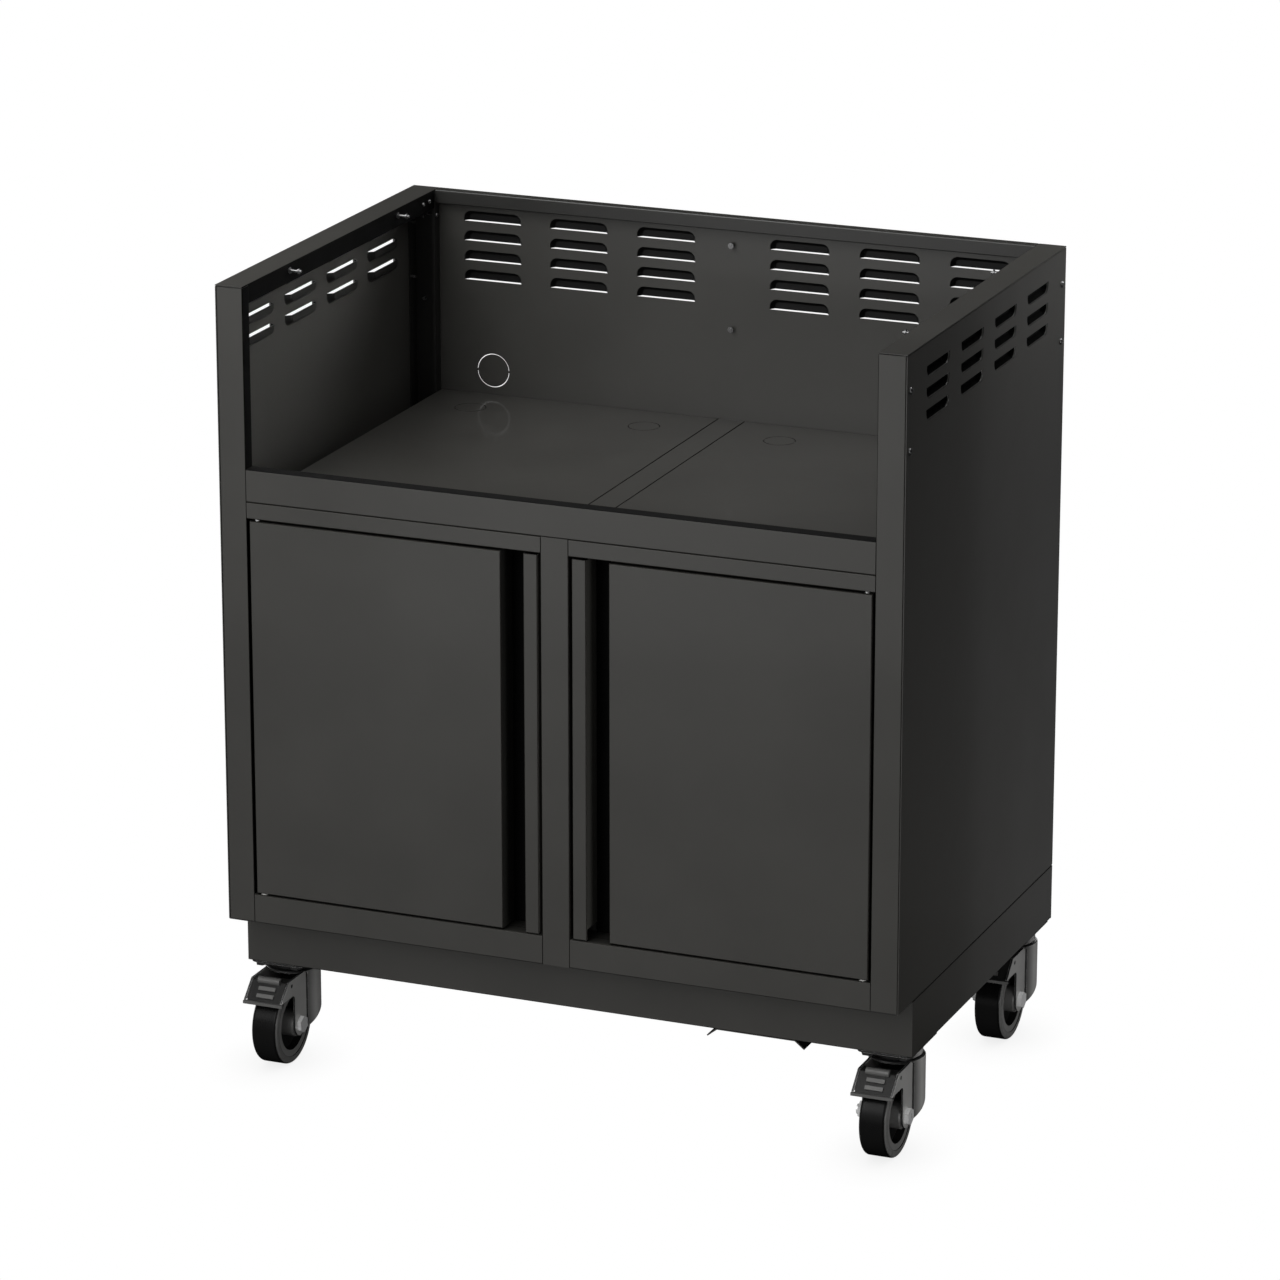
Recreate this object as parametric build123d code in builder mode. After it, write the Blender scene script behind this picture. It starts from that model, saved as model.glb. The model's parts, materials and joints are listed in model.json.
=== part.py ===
from build123d import *
import os

os.makedirs("parts", exist_ok=True)

# Outdoor kitchen cabinet: an open bay for an insert grill over a two-door cupboard, made of
# folded sheet, on a recessed plinth with four braked swivel casters.
# Millimetres. The origin is on the ground under the middle of the case; +X is to the right,
# the doors face -Y and +Z is up.

# Case
case_width = 838.0
case_depth = 547.2
case_height = 768.3

# Folded sheet and its fits
sheet = 1.2
bend_radius = 1.4
seam = 0.8
hem_width = 3.7
fit_gap = 0.05
overrun = 4.0

# Front frame
post_width = 34.2
return_depth = 16.8
stile_width = 34.7
bottom_rail_height = 35.2
top_rail_height = 20.0
apron_height = 38.8
bay_depth = 254.0

# Caps and rear top rail
cap_flange_height = 22.3
rear_rail_depth = 13.1
rear_rail_height = 17.0

# Rear corner posts
post_inner_leg = 14.4
post_outer_leg = 20.0

# Bay floor
floor_flange_height = 20.0
cover_strip_width = 34.0
side_rail_height = 35.0
side_rail_foot = 15.0

# Pressed louvres
louvre_width = 78.0
louvre_height = 14.2
louvre_corner = 10.6
louvre_depth = 7.5
louvre_slope = 35.0
louvre_edge = 3.0
rear_louvre_shares = (0.2235, 0.5203, 0.816)
rear_louvre_rows = 4
rear_louvre_pitch = 24.5
rear_louvre_drop = 38.3
side_louvre_shares = (0.2098, 0.629)
side_louvre_rows = 3
side_louvre_pitch = 25.0
side_louvre_drop = 28.0

# Knockouts left in the sheet on two small tabs
knockout_slit = 1.0
knockout_tab = 2.5
floor_knockout_radius = 19.5
floor_knockout_shares = (0.2274, 0.8212)
floor_knockout_inset = 66.4
wall_knockout_radius = 21.25
wall_knockout_share = 0.817
wall_knockout_rise = 30.2

# Screws of the case
screw_radius = 2.0
screw_head_radius = 4.2
screw_head_height = 2.4
dome_share = 0.8
socket_radius = 1.3
socket_depth = 1.2
screw_clearance = 0.25
side_screw_drop = 42.5
side_screw_pitch = 69.0
side_screw_front_inset = 10.8
side_screw_rear_inset = 14.2
side_screw_length = 7.0
rear_screw_drop = 36.7
rear_screw_pitch = 103.4
rear_screw_inset = 14.4
rear_screw_length = 6.0
flange_screw_radius = 1.5
flange_head_radius = 2.8
flange_head_height = 1.6
flange_socket_radius = 0.9
flange_socket_depth = 0.8
flange_screw_inset = 30.6
flange_screw_pitch = 18.0
flange_screw_drop = 11.1
flange_screw_length = 6.0
leg_screw_inset = 9.6
leg_screw_drop = 32.3
leg_screw_length = 14.0

# Bolts that stand in from the caps and the rear wall, each with a disc near its end
fixing_radius = 1.7
fixing_disc_radius = 3.5
fixing_disc = 1.2
fixing_socket_radius = 0.9
fixing_socket_depth = 0.8
fixing_nut_flats = 6.5
fixing_nut_height = 2.4
fixing_stub = 0.8
cap_fixing_length = 12.0
cap_fixing_tip = 2.6
cap_fixing_share = 0.548
cap_fixing_drop = 8.3
rear_fixing_length = 5.0
rear_fixing_tip = 0.6

# Doors
door_depth = 35.0
door_top_gap = 2.5
door_bottom_gap = 1.7
door_side_gap = 2.9
door_stile_gap = 3.65
handle_strip_width = 17.6
handle_groove_width = 27.7
handle_notch_height = 13.0

# Door pivots
pivot_inset = 8.0
pivot_depth = 6.0
pin_radius = 2.5
pin_shoulder_radius = 4.0
pin_shoulder_length = 14.0
pin_tip = 2.0
bushing_barrel_radius = 3.6
bushing_flange_radius = 4.6
bushing_flange = 0.8
bushing_length = 4.0
thrust_gap = 0.1

# Magnetic catches
catch_width = 36.0
catch_depth = 12.0
catch_height = 14.0
catch_plate = 2.0
catch_inset = 6.0
catch_gap = 0.5

# Plinth
plinth_height = 68.4
plinth_setback = 48.5
plinth_flange = 18.0
caster_flange = 75.0

# Folded bracket under the plinth
bracket_inset = 68.0
bracket_width = 97.0
bracket_flap = 12.0
bracket_drop = 9.5
bracket_depth = 30.0
bracket_setback = 2.0
bracket_sheet = 1.6

# Casters
caster_side_inset = 35.2
caster_end_inset = 48.7
caster_trail = 34.0
plate_width = 67.0
plate_length = 95.0
plate_thickness = 2.5
plate_corner = 8.0
plate_bolt_x = 45.0
plate_bolt_y = 76.0
race_radius = 30.0
race_height = 12.5
race_edge = 3.0
swivel_gap = 0.3
kingpin_radius = 8.0
kingpin_head_gap = 0.5

# Caster bolts
caster_bolt_radius = 4.0
caster_bolt_flats = 13.0
caster_bolt_head = 4.5
caster_bolt_stub = 4.0
caster_nut_height = 6.5
caster_bolt_clearance = 0.3

# Caster forks
fork_sheet = 2.5
fork_inner_width = 45.0
crown_headroom = 12.7
crown_radius = 33.0
crown_edge = 1.8
cowl_rear_rise = 21.0
cowl_front_drop = 8.0
leg_radius = 14.0
leg_top_drop = 0.7
arm_drop = 20.5
arm_reach = 50.0
arm_shoulder = 28.5
leg_front_curve = 6.0
leg_rear_overlap = 18.0

# Caster wheels
wheel_radius = 50.0
wheel_width = 33.0
tyre_thickness = 9.0
tyre_shoulder = 4.0
rim_width = 31.0
rim_edge = 8.0
web_width = 12.0
boss_radius = 16.0
boss_width = 43.6
boss_edge = 1.5
axle_radius = 6.0
axle_flats = 18.0
axle_head = 5.0
axle_nut = 7.0
axle_stub = 3.0

# Brake pedals
pedal_width = 43.6
pedal_sheet = 2.5
pedal_rear_y = -50.0
pedal_knee_y = -64.0
pedal_foot_y = -83.5
pedal_top_drop = 1.7
pedal_foot_drop = 24.1
pedal_pivot_y = -56.0
pedal_pivot_drop = 7.7
pedal_pin_radius = 2.5
pedal_pin_reach = 24.6
pedal_ear_radius = 5.5
pedal_ear_sheet = 2.5
pedal_lip_width = 51.0
pedal_lip_depth = 4.5
pedal_lip_height = 3.6
pedal_bar_radius = 4.5
pedal_bar_length = 28.0
pedal_rib_width = 22.0
pedal_rib_height = 1.6
pedal_rib_length = 5.0
pedal_rib_shares = (0.36, 0.68)

# Levels and planes that the pieces share
crown_top = 2 * wheel_radius + crown_headroom
race_bottom = crown_top + swivel_gap
plate_bottom = race_bottom + race_height
caster_height = plate_bottom + plate_thickness
half_width = case_width / 2
front = -case_depth / 2
rear = case_depth / 2
case_bottom = caster_height + plinth_height
case_top = case_bottom + case_height
shelf_top = case_top - bay_depth
skin_inside = half_width - sheet
post_inside = half_width - post_width
rear_inside = rear - sheet
return_back = front + return_depth
stile_side = stile_width / 2
base_top = case_bottom + bottom_rail_height
rail_bottom = shelf_top - top_rail_height
plinth_front = front + plinth_setback
rear_leg_front = rear_inside - post_inner_leg
door_outer = post_inside - door_side_gap
door_inner = stile_side + door_stile_gap
door_bottom = base_top + door_bottom_gap
door_top = rail_bottom - door_top_gap
groove_inner = door_inner + handle_strip_width
groove_outer = groove_inner + handle_groove_width
door_back = front + door_depth
liner_front = door_back - sheet
groove_floor = liner_front - sheet
pivot_x = door_outer - pivot_inset
pivot_y = front + pivot_depth
leg_top = crown_top - leg_top_drop
arm_level = leg_top - arm_drop
fork_outer = fork_inner_width / 2 + fork_sheet
rim_radius = wheel_radius - tyre_thickness
dish_radius = rim_radius - rim_edge
pedal_top_level = crown_top - pedal_top_drop
pedal_foot_level = crown_top - pedal_foot_drop
pedal_pivot_level = crown_top - pedal_pivot_drop
caster_x = half_width - caster_side_inset
caster_front_y = plinth_front + caster_end_inset
caster_rear_y = rear - caster_end_inset
caster_places = {
    "front_left": (-caster_x, caster_front_y),
    "front_right": (caster_x, caster_front_y),
    "rear_left": (-caster_x, caster_rear_y),
    "rear_right": (caster_x, caster_rear_y),
}


def keep(piece, name):
    """Label a finished piece and write it under its name."""
    piece.part.label = name
    export_step(piece.part, f"parts/{name}.step")


def keep_pair(piece, name):
    """Write a right-hand piece and its mirror image on the left."""
    with BuildPart() as left:
        mirror(piece.part, about=Plane.YZ)
    keep(piece, f"right_{name}")
    keep(left, f"left_{name}")


def across(y):
    """Upright plane square to the depth, facing the front."""
    return Plane.XZ.offset(-y)


def along(x):
    """Upright plane square to the width, facing right."""
    return Plane.YZ.offset(x)


def folded(plane, *points, thickness=sheet):
    """Section of folded sheet: the points run anticlockwise round its outer side."""
    with BuildSketch(plane) as section:
        with BuildLine():
            FilletPolyline(*points, radius=bend_radius + thickness - sheet)
            offset(amount=thickness, side=Side.LEFT)
        make_face()
    return section.sketch


def block(low, high):
    """Plain box between two corners."""
    size = [b - a for a, b in zip(low, high)]
    with BuildPart() as solid:
        with Locations(low):
            Box(*size, align=(Align.MIN, Align.MIN, Align.MIN))
    return solid.part


def tray(low, high, open_side):
    """Folded tray between two corners, without the wall at the end of the given axis."""
    with BuildPart() as pan:
        add(block(low, high))
        fillet(faces().sort_by(open_side)[0].edges(), bend_radius)
        offset(amount=-sheet, openings=faces().sort_by(open_side)[-1])
    return pan.part


def screw(radius, length, head_radius, head_height, socket, depth):
    """Domed socket screw: the head stands below the plane XY and the shank above it."""
    with BuildPart() as body:
        Cylinder(head_radius, head_height, align=(Align.CENTER, Align.CENTER, Align.MAX))
        fillet(faces().sort_by(Axis.Z)[0].edges(), head_height * dome_share)
        Cylinder(radius, length, align=(Align.CENTER, Align.CENTER, Align.MIN))
        with BuildSketch(Plane.XY.offset(-head_height)):
            RegularPolygon(socket, 6)
        extrude(amount=depth, mode=Mode.SUBTRACT)
    return body.part


def fixing_bolt(length, tip):
    """Bolt with its disc and tip below the plane XY and its shank above."""
    with BuildPart() as body:
        Cylinder(fixing_radius, length, align=(Align.CENTER, Align.CENTER, Align.MIN))
        Cylinder(fixing_disc_radius, fixing_disc, align=(Align.CENTER, Align.CENTER, Align.MAX))
        Cylinder(fixing_radius, fixing_disc + tip, align=(Align.CENTER, Align.CENTER, Align.MAX))
        with BuildSketch(Plane.XY.offset(-fixing_disc - tip)):
            RegularPolygon(fixing_socket_radius, 6)
        extrude(amount=fixing_socket_depth, mode=Mode.SUBTRACT)
    return body.part


def hexagon(flats, height, bore=0):
    """Hexagonal nut or head that stands on the plane XY."""
    with BuildPart() as body:
        with BuildSketch():
            RegularPolygon(flats / 2, 6, major_radius=False)
            if bore:
                Circle(bore, mode=Mode.SUBTRACT)
        extrude(amount=height)
    return body.part


def knockout(radius):
    """Ring-shaped slit with two bridges, cut through a sheet on the plane XY."""
    with BuildPart() as ring:
        with BuildSketch():
            Circle(radius)
            Circle(radius - knockout_slit, mode=Mode.SUBTRACT)
            Rectangle(2 * (radius + overrun), knockout_tab, mode=Mode.SUBTRACT)
        extrude(amount=sheet + overrun, both=True)
    return ring.part


def louvre():
    """Pressed hood on the plane XY: it stands out along +Z and its mouth faces -Y."""
    with BuildPart() as hood:
        with BuildSketch():
            RectangleRounded(louvre_width, 2 * louvre_height, louvre_corner)
        extrude(amount=louvre_depth, taper=louvre_slope)
        fillet(faces().sort_by(Axis.Z)[-1].edges(), louvre_edge)
        add(louvre_hollow(), mode=Mode.SUBTRACT)
        split(bisect_by=Plane.XZ, keep=Keep.BOTTOM)
    return hood.part


def louvre_hollow():
    """Inside of the hood, open at the sheet."""
    inner_width = louvre_width - 2 * sheet
    inner_height = 2 * (louvre_height - sheet)
    with BuildPart() as hollow:
        with BuildSketch():
            RectangleRounded(inner_width, inner_height, louvre_corner - sheet)
        extrude(amount=louvre_depth - sheet, taper=louvre_slope)
        fillet(faces().sort_by(Axis.Z)[-1].edges(), louvre_edge - sheet)
    return hollow.part


def louvre_window():
    """Opening in the sheet behind a hood."""
    with BuildPart() as window:
        with BuildSketch(Plane.XY.offset(-sheet - overrun)):
            RectangleRounded(
                louvre_width - 2 * sheet, 2 * (louvre_height - sheet), louvre_corner - sheet
            )
        extrude(amount=sheet + overrun)
        split(bisect_by=Plane.XZ, keep=Keep.BOTTOM)
    return window.part


# Side skins, with the louvres pressed inward and a flange under the case
side_louvres = [
    (side * share * rear, case_top - side_louvre_drop - row * side_louvre_pitch)
    for side in (-1, 1)
    for share in side_louvre_shares
    for row in range(side_louvre_rows)
]
side_screw_rows = (front + side_screw_front_inset, rear - side_screw_rear_inset)
side_screw_high = case_top - side_screw_drop
side_screw_levels = (side_screw_high, side_screw_high - side_screw_pitch)
side_screws = [(y, z) for y in side_screw_rows for z in side_screw_levels]

with BuildPart() as side_panel:
    extrude(
        folded(
            across(rear),
            (post_inside, case_bottom),
            (half_width, case_bottom),
            (half_width, case_top - sheet - seam),
        ),
        amount=case_depth,
    )
    add(
        block(
            (post_inside - overrun, rear_inside, case_bottom - overrun),
            (skin_inside, rear + overrun, case_bottom + bend_radius),
        ),
        mode=Mode.SUBTRACT,
    )
    with Locations(*[Location((skin_inside, y, z), (0, -90, 90)) for y, z in side_louvres]):
        add(louvre_window(), mode=Mode.SUBTRACT)
    with Locations(*[Location((skin_inside, y, z), (0, -90, 90)) for y, z in side_louvres]):
        add(louvre())
    with BuildSketch(along(skin_inside)):
        with Locations(*side_screws):
            Circle(screw_radius + screw_clearance)
    extrude(amount=sheet + overrun, both=True, mode=Mode.SUBTRACT)
keep_pair(side_panel, "side_panel")

# Front corner posts, channels open to the rear
with BuildPart() as front_post:
    extrude(
        folded(
            Plane.XY.offset(case_bottom + bend_radius),
            (post_inside, return_back),
            (post_inside, front),
            (skin_inside, front),
            (skin_inside, return_back),
        ),
        amount=case_height - bend_radius - sheet - seam,
    )
    with BuildSketch(along(skin_inside)):
        with Locations(*side_screws[: len(side_screw_levels)]):
            Circle(screw_radius + screw_clearance)
    extrude(amount=sheet + overrun, both=True, mode=Mode.SUBTRACT)
keep_pair(front_post, "front_post")

# Rear corner posts, channels open to the front with a hem on the inner edge
leg_screw = (rear - leg_screw_inset, case_top - leg_screw_drop)
rear_screw_x = half_width - rear_screw_inset
rear_screw_high = case_top - rear_screw_drop
rear_screw_levels = (rear_screw_high, rear_screw_high - rear_screw_pitch)
with BuildPart() as rear_post:
    extrude(
        folded(
            Plane.XY.offset(base_top),
            (skin_inside, rear_inside - post_outer_leg),
            (skin_inside, rear_inside),
            (post_inside, rear_inside),
            (post_inside, rear_leg_front),
        ),
        amount=case_top - sheet - base_top,
    )
    add(
        block(
            (post_inside, rear_leg_front, base_top),
            (post_inside + hem_width, rear_leg_front + sheet, case_top - sheet),
        )
    )
    with BuildSketch(along(skin_inside)):
        with Locations(*side_screws[len(side_screw_levels) :]):
            Circle(screw_radius + screw_clearance)
    extrude(amount=sheet + overrun, both=True, mode=Mode.SUBTRACT)
    with BuildSketch(across(rear_inside)):
        with Locations(*[(rear_screw_x, z) for z in rear_screw_levels]):
            Circle(screw_radius + screw_clearance)
    extrude(amount=sheet + overrun, both=True, mode=Mode.SUBTRACT)
    with BuildSketch(along(post_inside)):
        with Locations(leg_screw):
            Circle(flange_screw_radius + screw_clearance)
    extrude(amount=sheet + overrun, both=True, mode=Mode.SUBTRACT)
keep_pair(rear_post, "rear_post")

# Caps over the sides, with an inner flange between the front and rear posts
cap_fixing_y = cap_fixing_share * rear
cap_fixing_z = case_top - cap_fixing_drop
flange_screw_rear = rear - flange_screw_inset
flange_screw_z = case_top - flange_screw_drop
flange_screw_row = (flange_screw_rear - flange_screw_pitch, flange_screw_rear)
with BuildPart() as top_cap:
    extrude(
        folded(
            across(rear),
            (half_width, case_top),
            (post_inside, case_top),
            (post_inside, case_top - cap_flange_height),
        ),
        amount=case_depth,
    )
    flange_low = case_top - cap_flange_height - overrun
    flange_high = case_top - sheet
    add(
        block(
            (post_inside - overrun, front - overrun, flange_low),
            (skin_inside, return_back + seam, flange_high),
        ),
        mode=Mode.SUBTRACT,
    )
    add(
        block(
            (post_inside - overrun, rear_leg_front - seam, flange_low),
            (skin_inside, rear + overrun, flange_high),
        ),
        mode=Mode.SUBTRACT,
    )
    with BuildSketch(along(post_inside)):
        with Locations((-cap_fixing_y, cap_fixing_z), (cap_fixing_y, cap_fixing_z)):
            Circle(fixing_radius + screw_clearance)
        with Locations(*[(y, flange_screw_z) for y in flange_screw_row]):
            Circle(flange_screw_radius + screw_clearance)
    extrude(amount=sheet + overrun, both=True, mode=Mode.SUBTRACT)
keep_pair(top_cap, "top_cap")

# Rear skin, with hoods pressed outward, a knockout and screw holes
rear_louvres = [
    (side * share * post_inside, rear_inside, case_top - rear_louvre_drop - row * rear_louvre_pitch)
    for side in (-1, 1)
    for share in rear_louvre_shares
    for row in range(rear_louvre_rows)
]
rear_screws = [(side * rear_screw_x, z) for side in (-1, 1) for z in rear_screw_levels]
with BuildPart() as rear_panel:
    add(
        block(
            (-skin_inside, rear_inside, case_bottom),
            (skin_inside, rear, case_top - sheet - seam),
        )
    )
    with Locations(*[Location((x, y + sheet, z), (-90, 0, 180)) for x, y, z in rear_louvres]):
        add(louvre_window(), mode=Mode.SUBTRACT)
    with Locations(*[Location((x, y + sheet, z), (-90, 0, 180)) for x, y, z in rear_louvres]):
        add(louvre())
    wall_knockout = (-wall_knockout_share * post_inside, rear_inside, shelf_top + wall_knockout_rise)
    with Locations(Location(wall_knockout, (90, 0, 0))):
        add(knockout(wall_knockout_radius), mode=Mode.SUBTRACT)
    with BuildSketch(across(rear)):
        with Locations(*rear_screws):
            Circle(screw_radius + screw_clearance)
        with Locations(*[(0, z) for z in rear_screw_levels]):
            Circle(fixing_radius + screw_clearance)
    extrude(amount=sheet + overrun, both=True, mode=Mode.SUBTRACT)
keep(rear_panel, "rear_panel")

# Rear top rail, hooked over the rear skin
with BuildPart() as rear_top_rail:
    rail_front = rear - rear_rail_depth
    rail_low = case_top - rear_rail_height
    extrude(
        folded(
            along(-post_inside),
            (rear, case_top),
            (rail_front, case_top),
            (rail_front, rail_low),
            (rail_front + hem_width, rail_low),
        ),
        amount=2 * post_inside,
    )
keep(rear_top_rail, "rear_top_rail")

# Apron in front of the bay
with BuildPart() as front_apron:
    apron_top = shelf_top + apron_height
    extrude(
        folded(
            along(-post_inside),
            (return_back, apron_top),
            (front, apron_top),
            (front, shelf_top),
            (return_back, shelf_top),
        ),
        amount=2 * post_inside,
    )
keep(front_apron, "front_apron")

# Centre stile between the doors
with BuildPart() as centre_stile:
    extrude(
        folded(
            Plane.XY.offset(case_bottom),
            (-stile_side, return_back),
            (-stile_side, front),
            (stile_side, front),
            (stile_side, return_back),
        ),
        amount=shelf_top - case_bottom,
    )
keep(centre_stile, "centre_stile")

# Rails over and under the doors, with holes for the pivot bushings
rail_length = post_inside - stile_side
with BuildPart() as top_rail:
    extrude(
        folded(
            along(stile_side),
            (return_back, shelf_top),
            (front, shelf_top),
            (front, rail_bottom),
            (return_back, rail_bottom),
        ),
        amount=rail_length,
    )
    with BuildSketch(Plane.XY.offset(rail_bottom)):
        with Locations((pivot_x, pivot_y)):
            Circle(bushing_barrel_radius + fit_gap)
    extrude(amount=sheet + fit_gap, both=True, mode=Mode.SUBTRACT)
keep_pair(top_rail, "top_rail")

with BuildPart() as bottom_rail:
    extrude(
        folded(
            along(stile_side),
            (return_back, base_top),
            (front, base_top),
            (front, case_bottom),
            (plinth_front + plinth_flange, case_bottom),
        ),
        amount=rail_length,
    )
    with BuildSketch(Plane.XY.offset(base_top)):
        with Locations((pivot_x, pivot_y)):
            Circle(bushing_barrel_radius + fit_gap)
    extrude(amount=sheet + fit_gap, both=True, mode=Mode.SUBTRACT)
keep_pair(bottom_rail, "bottom_rail")

# Bay floor: two trays, a cover strip between them and a rail along each side
strip_side = cover_strip_width / 2
floor_low = shelf_top - floor_flange_height
knockout_y = rear_inside - floor_knockout_inset
floor_knockouts = [(share * post_inside, knockout_y, shelf_top) for share in floor_knockout_shares]
with BuildPart() as grill_shelf:
    add(
        tray(
            (strip_side, return_back, floor_low),
            (post_inside, rear_inside, shelf_top),
            -Axis.Z,
        )
    )
    with Locations(*floor_knockouts):
        add(knockout(floor_knockout_radius), mode=Mode.SUBTRACT)
keep_pair(grill_shelf, "grill_shelf")

with BuildPart() as shelf_centre_strip:
    extrude(
        folded(
            across(rear_inside),
            (strip_side, floor_low),
            (strip_side, shelf_top),
            (-strip_side, shelf_top),
            (-strip_side, floor_low),
        ),
        amount=rear_inside - return_back,
    )
keep(shelf_centre_strip, "shelf_centre_strip")

with BuildPart() as shelf_side_rails:
    side_rail_bottom = shelf_top - side_rail_height
    extrude(
        folded(
            across(rear_leg_front),
            (post_inside, shelf_top - bend_radius),
            (post_inside, side_rail_bottom),
            (post_inside + side_rail_foot, side_rail_bottom),
        ),
        amount=rear_leg_front - return_back,
    )
    mirror(about=Plane.YZ)
keep(shelf_side_rails, "shelf_side_rails")

# Cupboard floor, a tray turned over, clear of the fold at the foot of each skin
base_side = half_width - bend_radius
with BuildPart() as base_panel:
    add(
        tray(
            (-base_side, return_back, case_bottom + sheet),
            (base_side, rear_inside, base_top),
            -Axis.Z,
        )
    )
keep(base_panel, "base_panel")

# Plinth: front and rear channels between two sides whose wide feet carry the casters
foot_inside = half_width - caster_flange
top_flange_inside = half_width - plinth_flange


def plinth_end(face_y, inward):
    """Front or rear of the plinth, with its flanges on the inward side."""
    flange_y = face_y + inward * plinth_flange
    web = sorted((face_y, face_y + inward * sheet))
    flange = sorted((face_y, flange_y))
    with BuildPart() as end:
        add(block((-half_width, web[0], caster_height), (half_width, web[1], case_bottom)))
        add(
            block(
                (-foot_inside, flange[0], caster_height),
                (foot_inside, flange[1], caster_height + sheet),
            )
        )
        add(
            block(
                (-top_flange_inside, flange[0], case_bottom - sheet),
                (top_flange_inside, flange[1], case_bottom),
            )
        )
        rounded = edges().filter_by(Axis.X).group_by(SortBy.LENGTH)[-1]
        fillet(rounded.filter_by(lambda edge: abs(edge.center().Y - face_y) < fit_gap), bend_radius)
    return end


keep(plinth_end(plinth_front, 1), "plinth_front")
keep(plinth_end(rear, -1), "plinth_rear")

bolt_offsets = [
    (x * plate_bolt_x / 2, y * plate_bolt_y / 2) for x in (-1, 1) for y in (-1, 1)
]
with BuildPart() as plinth_side:
    extrude(
        folded(
            across(rear_inside),
            (foot_inside, caster_height),
            (half_width, caster_height),
            (half_width, case_bottom),
            (top_flange_inside, case_bottom),
        ),
        amount=rear_inside - plinth_front - sheet,
    )
    with BuildSketch(Plane.XY.offset(caster_height)):
        for y in (caster_front_y, caster_rear_y):
            with Locations(*[(caster_x + dx, y + dy) for dx, dy in bolt_offsets]):
                Circle(caster_bolt_radius + caster_bolt_clearance)
    extrude(amount=sheet + overrun, both=True, mode=Mode.SUBTRACT)
keep_pair(plinth_side, "plinth_side")

# Folded bracket under the front of the plinth
with BuildPart() as base_bracket:
    bracket_end = foot_inside - bracket_inset
    bracket_start = bracket_end - bracket_width
    bracket_low = caster_height - bracket_drop
    extrude(
        folded(
            across(plinth_front + bracket_setback + bracket_depth),
            (bracket_end + bracket_flap, bracket_low),
            (bracket_end, caster_height),
            (bracket_start, caster_height),
            (bracket_start - bracket_flap, bracket_low),
            thickness=bracket_sheet,
        ),
        amount=bracket_depth,
    )
keep(base_bracket, "base_bracket")

# Screws that hold the skins, posts and caps
case_screw = (screw_head_radius, screw_head_height, socket_radius, socket_depth)
small_screw = (flange_head_radius, flange_head_height, flange_socket_radius, flange_socket_depth)
with BuildPart() as panel_screws:
    with Locations(*[Location((half_width, y, z), (0, -90, 0)) for y, z in side_screws]):
        add(screw(screw_radius, side_screw_length, *case_screw))
    with Locations(*[Location((post_inside, y, flange_screw_z), (0, 90, 0)) for y in flange_screw_row]):
        add(screw(flange_screw_radius, flange_screw_length, *small_screw))
    with Locations(Location((post_inside, *leg_screw), (0, 90, 0))):
        add(screw(flange_screw_radius, leg_screw_length, *small_screw))
    mirror(about=Plane.YZ)
    with Locations(*[Location((x, rear, z), (90, 0, 0)) for x, z in rear_screws]):
        add(screw(screw_radius, rear_screw_length, *case_screw))
keep(panel_screws, "panel_screws")

# Bolts that hold the grill, each with a nut against the sheet that carries it
with BuildPart() as cap_fixing:
    add(fixing_bolt(cap_fixing_length + sheet + fixing_stub, cap_fixing_tip))
    with Locations((0, 0, cap_fixing_length - fixing_nut_height)):
        add(hexagon(fixing_nut_flats, fixing_nut_height, fixing_radius + fit_gap))

with BuildPart() as rear_fixing:
    outer_face = rear_fixing_length + sheet
    add(fixing_bolt(outer_face + fixing_nut_height + fixing_stub, rear_fixing_tip))
    with Locations((0, 0, outer_face)):
        add(hexagon(fixing_nut_flats, fixing_nut_height, fixing_radius + fit_gap))

with BuildPart() as grill_fixing_bolts:
    cap_start = post_inside - cap_fixing_length
    for y in (-cap_fixing_y, cap_fixing_y):
        with Locations(Location((cap_start, y, cap_fixing_z), (0, 90, 0))):
            add(cap_fixing.part)
    mirror(about=Plane.YZ)
    rear_start = rear_inside - rear_fixing_length
    with Locations(*[Location((0, rear_start, z), (-90, 0, 0)) for z in rear_screw_levels]):
        add(rear_fixing.part)
keep(grill_fixing_bolts, "grill_fixing_bolts")

# Pivot bushings in the rails
bottom_bush = base_top - bushing_length
top_bush = rail_bottom + bushing_length
with BuildPart() as hinge_bushings:
    with BuildSketch(Plane.XY.offset(bottom_bush)):
        with Locations((pivot_x, pivot_y)):
            Circle(bushing_barrel_radius)
    extrude(amount=bushing_length)
    with BuildSketch(Plane.XY.offset(base_top)):
        with Locations((pivot_x, pivot_y)):
            Circle(bushing_flange_radius)
    extrude(amount=bushing_flange)
    with BuildSketch(Plane.XY.offset(rail_bottom)):
        with Locations((pivot_x, pivot_y)):
            Circle(bushing_barrel_radius)
    extrude(amount=bushing_length)
    with BuildSketch(Plane.XY.offset(rail_bottom + sheet)):
        with Locations((pivot_x, pivot_y)):
            Circle(bushing_flange_radius)
    extrude(amount=bushing_flange)
    with BuildSketch(Plane.XY.offset(bottom_bush - overrun)):
        with Locations((pivot_x, pivot_y)):
            Circle(pin_radius + fit_gap)
    extrude(amount=top_bush - bottom_bush + 2 * overrun, mode=Mode.SUBTRACT)
    mirror(about=Plane.YZ)
keep(hinge_bushings, "hinge_bushings")

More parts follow.
